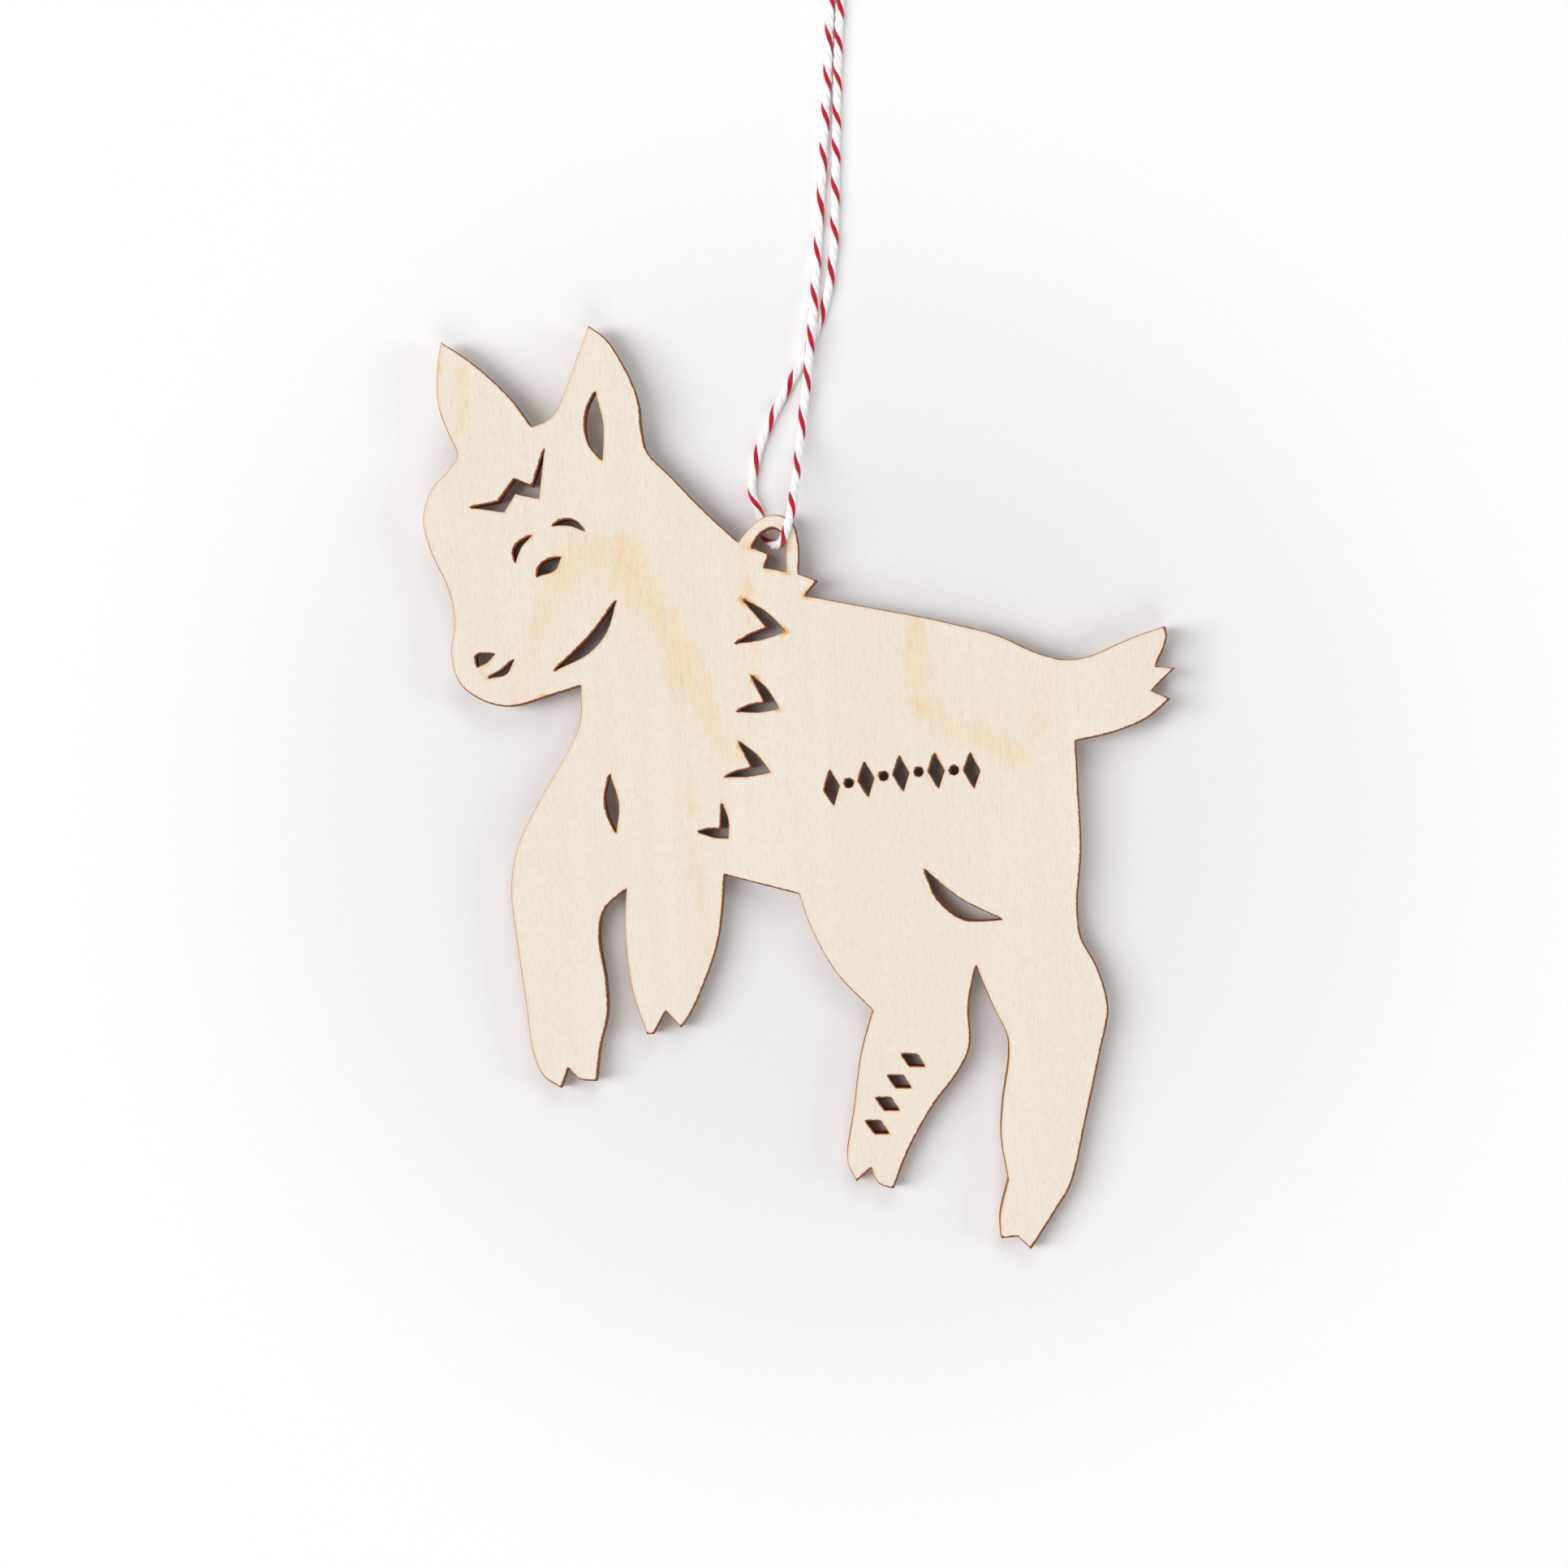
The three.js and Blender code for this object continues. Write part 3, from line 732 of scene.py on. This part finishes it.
PHASE_WINDOW = 19  # places over which the twist evens out
HELIX = 0.268  # from the twine's middle to a strand's
STRAND = 0.232  # a strand's radius
DYED_STRAND = 1.07  # the dyed strand is a little fuller
AROUND = 12  # sides of a strand
FRAY = 1.6  # how far from a cut end the strands open
SURFACE_GAP = 0.03  # the lowest that a strand or a fibre lies


def knot_lane(offset, lift):
    """An overhand knot's path, from its tail side to its leg side, in one of two lanes."""
    t = np.linspace(-2.45, 2.45, 23)
    x = -np.cos(t) + 2 * np.cos(2 * t)
    y = -(np.sin(t) + 2 * np.sin(2 * t))
    z = np.sin(3 * t)
    p = np.stack([x * 0.6, y * 0.5, z * 0.55], axis=1)
    ahead = np.gradient(p, axis=0)
    ahead /= np.linalg.norm(ahead, axis=1)[:, None]
    side = np.cross(ahead, (0, 0, 1.0))
    side /= np.linalg.norm(side, axis=1)[:, None]
    p = p + side * offset
    p[:, 2] += lift
    return (p + KNOT_CENTRE).tolist()


route = LEFT_TAIL[::-1] + knot_lane(0.36, 0.1) + BACK_LEG[::-1] + BIGHT + FRONT_LEG
route = route + knot_lane(-0.36, -0.1)[::-1] + RIGHT_TAIL
line = catmull_rom(route, STEP)
for _ in range(SMOOTHING_PASSES):
    line[1:-1] = line[1:-1] * 0.5 + (line[:-2] + line[2:]) * 0.25
line = resample(line, STEP)
along = arc_lengths(line)
ahead = np.gradient(line, axis=0)
ahead /= np.linalg.norm(ahead, axis=1)[:, None]
side = np.zeros_like(line)
side[0] = np.cross(ahead[0], (0, 0, 1.0))
side[0] /= np.linalg.norm(side[0])
for i in range(1, len(line)):
    v = side[i - 1] - ahead[i] * (side[i - 1] @ ahead[i])
    side[i] = v / np.linalg.norm(v)
other = np.cross(ahead, side)


def nearest(place, low, high):
    """The line's point nearest to a place, in plan or in space, among its points low to high."""
    gap = line[low:high, : len(place)] - np.array(place)
    return low + int(np.argmin(np.linalg.norm(gap, axis=1)))


last = len(line) - 1
middle = nearest(BIGHT[6], 0, last)
leg_start = nearest(BACK_LEG[-1], 0, middle)
leg_end = nearest(FRONT_LEG[-1], middle, last)
tail_left = nearest(LEFT_TAIL[0], 0, middle)
tail_right = nearest(RIGHT_TAIL[0], middle, last)

# The red strand faces up at each stripe, and turns once, left-handed, from each to the next.
stops = [nearest(p, leg_start, middle) for p in BACK_STRIPES]
stops += [nearest(p, middle, leg_end) for p in FRONT_STRIPES[::-1]]
up_angle = [math.atan2(other[i][2], side[i][2]) for i in stops]
turns = [up_angle[0]]
for k in range(1, len(stops)):
    expected = turns[-1] - 2 * math.pi * (along[stops[k]] - along[stops[k - 1]]) / PITCH
    turns.append(up_angle[k] + 2 * math.pi * round((expected - up_angle[k]) / (2 * math.pi)))
phase = np.interp(along, along[stops], turns)
before = slice(0, stops[0])
after = slice(stops[-1] + 1, None)
phase[before] = turns[0] + 2 * math.pi * (along[stops[0]] - along[before]) / PITCH
phase[after] = turns[-1] - 2 * math.pi * (along[after] - along[stops[-1]]) / PITCH
kernel = np.hanning(PHASE_WINDOW)
padded = np.pad(phase, PHASE_WINDOW // 2, mode="reflect", reflect_type="odd")
phase = np.convolve(padded, kernel / kernel.sum(), "valid")
# Uneven spinning: a pair of smooth random lines for each strand.
uneven = [smooth_random(len(line), 12, 1.0) for _ in range(8)]


def twist(start, stop, fray_at=None):
    """The four strands between two places on the line, as points, faces and their values."""
    n = stop - start + 1
    span = slice(start, stop + 1)
    points = []
    faces = []
    lay = []
    dyed = []
    inner = []
    base = 0
    for k in range(4):
        angle = phase[span] + k * math.pi / 2 + uneven[k][span] * 0.1
        spread = np.ones(n)
        thin = np.ones(n)
        if fray_at is not None:
            left = np.abs(along[span] - along[fray_at])
            open_end = np.clip(1 - left / FRAY, 0, 1)
            spread += open_end**1.5 * (1.1 + 0.5 * math.sin(2.1 * k + start))
            thin *= 1 - 0.45 * open_end**2
        out = np.cos(angle)[:, None] * side[span] + np.sin(angle)[:, None] * other[span]
        centre = line[span] + out * (HELIX * spread * (1 + 0.05 * uneven[k + 4][span]))[:, None]
        centre[:, 2] = np.maximum(centre[:, 2], STRAND * 0.6 + SURFACE_GAP)
        t = np.gradient(centre, axis=0)
        t /= np.linalg.norm(t, axis=1)[:, None]
        e1 = out - t * (out * t).sum(1)[:, None]
        e1 /= np.linalg.norm(e1, axis=1)[:, None]
        e2 = np.cross(t, e1)
        radius = STRAND * (DYED_STRAND if k == 0 else 1.0) * thin * (1 + 0.06 * uneven[k][span])
        for j in range(AROUND):
            b = 2 * math.pi * j / AROUND
            flat = 1.0 + 0.10 * abs(math.sin(b))
            points.append(centre + (math.cos(b) * e1 + math.sin(b) * flat * e2) * radius[:, None])
            lay.append(np.column_stack([
                np.full(n, math.cos(b) * STRAND + k * 3.1), np.full(n, math.sin(b) * STRAND), along[span],
            ]))
            # How much painted shade this side of the strand gets: most where it faces the twine's middle.
            inner.append(np.full(n, max(0.0, 0.35 - math.cos(b)) / 1.35))
            dyed.append(np.full(n, 1.0 if k == 0 else 0.0))
        for j in range(AROUND):
            q = (j + 1) % AROUND
            i = np.arange(n - 1)
            faces.append(np.column_stack([
                base + j * n + i, base + q * n + i, base + q * n + i + 1, base + j * n + i + 1,
            ]))
        base += AROUND * n
    quads = [tuple(f) for f in np.vstack(faces).tolist()]
    for k in range(4):
        first = k * AROUND * n
        quads.append(tuple(first + j * n for j in range(AROUND))[::-1])
        quads.append(tuple(first + j * n + n - 1 for j in range(AROUND)))
    return np.vstack(points), quads, np.vstack(lay), np.concatenate(dyed), np.concatenate(inner)


def fibre(root, direction, length, thickness, curl, red):
    """A loose cotton fibre: a thin three-sided tube that tapers and bends."""
    count = 7
    t = np.linspace(0, 1, count)[:, None]
    bend = rng.normal(0, 1, 3) * curl
    p = root + direction * length * t + bend * length * t**2
    p = p + rng.normal(0, 0.03, 3) * length * np.sin(t * 6)
    p[:, 2] = np.maximum(p[:, 2], SURFACE_GAP)
    d = np.gradient(p, axis=0)
    d /= np.maximum(np.linalg.norm(d, axis=1), 1e-9)[:, None]
    s = np.cross(d, (0.31, 0.2, 0.93))
    s /= np.maximum(np.linalg.norm(s, axis=1), 1e-9)[:, None]
    o = np.cross(d, s)
    size = thickness * (1 - 0.6 * t)
    rings = [p + (math.cos(b) * s + math.sin(b) * o) * size for b in (0, 2.094, 4.189)]
    points = np.stack(rings, axis=1).reshape(-1, 3)
    faces = []
    for i in range(count - 1):
        for j in range(3):
            q = (j + 1) % 3
            faces.append((i * 3 + j, i * 3 + q, i * 3 + 3 + q, i * 3 + 3 + j))
    faces.append((2, 1, 0))
    faces.append((count * 3 - 3, count * 3 - 2, count * 3 - 1))
    lay = np.column_stack([points[:, 0] * 3, points[:, 1] * 3, points[:, 2] * 3])
    return points, faces, lay, np.full(len(points), float(red)), np.zeros(len(points))


def join(parts):
    """Several parts, each of points, faces and values, as one."""
    points, faces, lay, dyed, inner = zip(*parts)
    base = np.cumsum([0] + [len(p) for p in points])
    joined = [tuple(i + int(b) for i in f) for b, part_faces in zip(base, faces) for f in part_faces]
    return np.vstack(points), joined, np.vstack(lay), np.concatenate(dyed), np.concatenate(inner)


def fuzz(start, stop, count, longest):
    """Fibres that stand off the strands between two places on the line."""
    made = []
    for _ in range(count):
        i = int(rng.integers(start, stop))
        k = int(rng.integers(0, 4))
        angle = phase[i] + k * math.pi / 2
        out = math.cos(angle) * side[i] + math.sin(angle) * other[i]
        across = np.cross(ahead[i], out)
        root = line[i] + out * (HELIX + STRAND * 0.7)
        away = out * 0.5 + across * rng.normal(0, 0.5) + ahead[i] * rng.normal(0, 1.0)
        away /= np.linalg.norm(away)
        length = 0.25 + (longest - 0.25) * rng.random() ** 3
        made.append(fibre(root, away, length, 0.011, 0.45, k == 0))
    return made


def twine_piece(name, parts):
    points, faces, lay, dyed, inner = join(parts)
    obj = mesh_object(
        name, points, faces, [YARN],
        [("lay", "FLOAT_VECTOR", lay), ("dyed", "FLOAT", dyed), ("inner", "FLOAT", inner)], None, 60,
    )
    return obj


RUN_FUZZ = 150  # loose fibres on each run
KNOT_FUZZ = 30
TAIL_FUZZ = 20
END_FUZZ = 50  # at a cut end
END_REACH = 12  # places from a cut end that its fibres stand on

back_run = twine_piece(
    "twine_back_run", [twist(leg_start, middle)] + fuzz(leg_start, middle, RUN_FUZZ, 1.3)
)
front_run = twine_piece("twine_front_run", [twist(middle, leg_end)] + fuzz(middle, leg_end, RUN_FUZZ, 1.3))
knot = twine_piece(
    "twine_overhand_knot",
    [twist(tail_left, leg_start), twist(leg_end, tail_right)]
    + fuzz(tail_left, leg_start, KNOT_FUZZ, 1.0) + fuzz(leg_end, tail_right, KNOT_FUZZ, 1.0),
)
left_tail = twine_piece(
    "twine_left_end",
    [twist(0, tail_left, 0)] + fuzz(0, END_REACH, END_FUZZ, 1.2) + fuzz(0, tail_left, TAIL_FUZZ, 0.9),
)
right_tail = twine_piece(
    "twine_right_end",
    [twist(tail_right, last, last)]
    + fuzz(last - END_REACH, last, END_FUZZ, 1.2) + fuzz(tail_right, last, TAIL_FUZZ, 0.9),
)

for obj in (knot, left_tail, right_tail):
    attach(obj, "loop")
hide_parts("twine_knot")
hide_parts("twine_tail_left")
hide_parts("twine_tail_right")
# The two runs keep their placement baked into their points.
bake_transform(back_run)
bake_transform(front_run)
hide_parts("twine_back_leg", "twine_bight")
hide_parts("twine_front_leg")


# ---------------------------------------------------------------- floor and light

HALF_FLOOR = 3  # metres, so that its edge stays out of every view
floor_mesh = bpy.data.meshes.new("floor")
corners = [(x * HALF_FLOOR, y * HALF_FLOOR, 0) for x, y in ((-1, -1), (1, -1), (1, 1), (-1, 1))]
floor_mesh.from_pydata(corners, [], [(0, 1, 2, 3)])
floor_mesh.materials.append(floor_paper("floor_paper"))
floor = bpy.data.objects.new("floor", floor_mesh)
floor.location = (0, 0, -0.00002)
bpy.context.scene.collection.objects.link(floor)

# A white room: bright low down, so that the horizon shows pale, and dim above the ceiling panel.
world = bpy.data.worlds.new("world")
world.use_nodes = True
sky = world.node_tree
height = sky.nodes.new("ShaderNodeSeparateXYZ")
sky.links.new(sky.nodes.new("ShaderNodeTexCoord").outputs["Generated"], height.inputs[0])
fade = sky.nodes.new("ShaderNodeMapRange")
fade.interpolation_type = "SMOOTHSTEP"
for value, socket in zip((0.14, 0.32, 0.86, 0.06), list(fade.inputs)[1:5]):
    socket.default_value = value
sky.links.new(height.outputs["Z"], fade.inputs["Value"])
sky.links.new(fade.outputs[0], sky.nodes["Background"].inputs["Strength"])
sky.nodes["Background"].inputs["Color"].default_value = (1, 1, 1, 1)
bpy.context.scene.world = world


def softbox(name, location, width, height, power):
    """A rectangular light that faces the object. The camera doesn't see it."""
    data = bpy.data.lights.new(name, "AREA")
    data.shape = "RECTANGLE"
    data.size, data.size_y = width, height
    data.energy = power
    lamp = bpy.data.objects.new(name, data)
    lamp.location = location
    lamp.rotation_euler = (-Vector(location)).to_track_quat("-Z", "Y").to_euler()
    lamp.visible_camera = False
    bpy.context.scene.collection.objects.link(lamp)


softbox("window_left", (-3.7, -0.08, 4.72), 2.2, 5.4, 275)
softbox("fill_right", (5.1, 0, 3.2), 2.0, 2.0, 54)
softbox("overhead", (0.1, 0, 4), 1.6, 1.6, 3.2)
softbox("overhead_north", (0.3, 3.85, 4.6), 3.0, 3.4, 78)
softbox("overhead_south", (0.3, -3.85, 4.6), 3.0, 3.4, 74)
